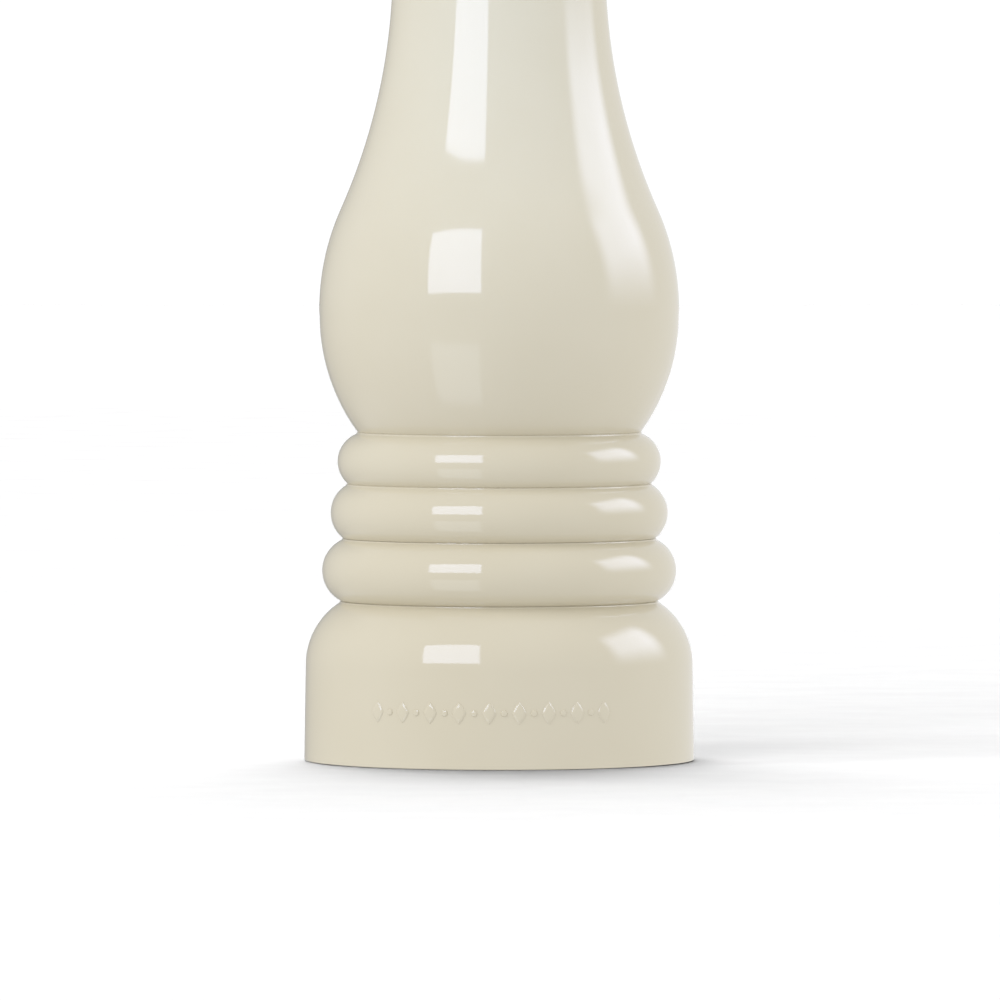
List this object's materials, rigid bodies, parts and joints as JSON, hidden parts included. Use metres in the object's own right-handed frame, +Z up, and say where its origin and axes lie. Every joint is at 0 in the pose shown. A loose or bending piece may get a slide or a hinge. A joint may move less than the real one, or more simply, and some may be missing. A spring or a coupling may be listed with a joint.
{
  "type": "pepper mill",
  "caption": "Turned table pepper mill in glossy ivory plastic: ringed foot, round belly, slim neck and ball head, with a ceramic burr mechanism and a grind dial under the foot.",
  "frame": {"origin": "on the table, at the centre of the foot's rim", "axes": "+Z up along the mill's axis, from the foot to the head; -Y faces the viewer and +X is to the viewer's right"},
  "size_m": [0.064, 0.064, 0.21],
  "materials": {
    "cream_gloss_plastic": "high-gloss moulded ivory",
    "grey_mechanism_plastic": "fine moulded texture",
    "white_mechanism_plastic": "satin moulded",
    "white_ceramic": "unglazed, fine-ground",
    "drawn_aluminium": "drawn, satin",
    "stainless_steel": "brushed",
    "brass": "turned",
    "black_rubber": "matt"
  },
  "bodies": {
    "mill_body": {"body_shell": "cream_gloss_plastic", "hopper_sleeve": "cream_gloss_plastic", "base_plate": "grey_mechanism_plastic", "base_screw_1": "stainless_steel", "base_screw_2": "stainless_steel", "base_screw_3": "stainless_steel", "glide_ring": "white_mechanism_plastic", "mechanism_housing": "grey_mechanism_plastic", "outer_burr": "white_ceramic", "burr_retainer": "white_mechanism_plastic", "shaft_bush": "white_mechanism_plastic"},
    "spindle": {"drive_shaft": "drawn_aluminium", "feeder": "white_mechanism_plastic", "retaining_clip": "stainless_steel", "pressure_spring": "stainless_steel"},
    "burr_carriage": {"inner_burr": "white_ceramic", "burr_hub": "white_mechanism_plastic", "spring_washer": "stainless_steel"},
    "adjuster": {"adjuster_knob": "grey_mechanism_plastic", "adjuster_nut": "brass"},
    "head": {"head_shell": "cream_gloss_plastic", "head_cap": "stainless_steel", "head_plug": "white_mechanism_plastic", "grip_ring": "black_rubber"}
  },
  "joints": [
    {"name": "head_turn", "type": "hinge", "parent": "mill_body", "child": "spindle", "pos_m": [0, 0, 0.15], "axis": [0, 0, 1], "continuous": true},
    {"name": "head_lift", "type": "slide", "parent": "spindle", "child": "head", "axis": [0, 0, 1], "range_m": [0, 0.06]},
    {"name": "cone_travel", "type": "slide", "parent": "spindle", "child": "burr_carriage", "axis": [0, 0, 1], "range_m": [-0.00052, 0.00052], "deforming": ["pressure_spring"]},
    {"name": "grind_adjust", "type": "hinge", "parent": "burr_carriage", "child": "adjuster", "pos_m": [0, 0, 0.004], "axis": [0, 0, 1], "range_deg": [-150, 150]}
  ],
  "couplings": [
    {"joint": "grind_adjust", "follows": "cone_travel", "rad_per_m": 5026.5}
  ]
}
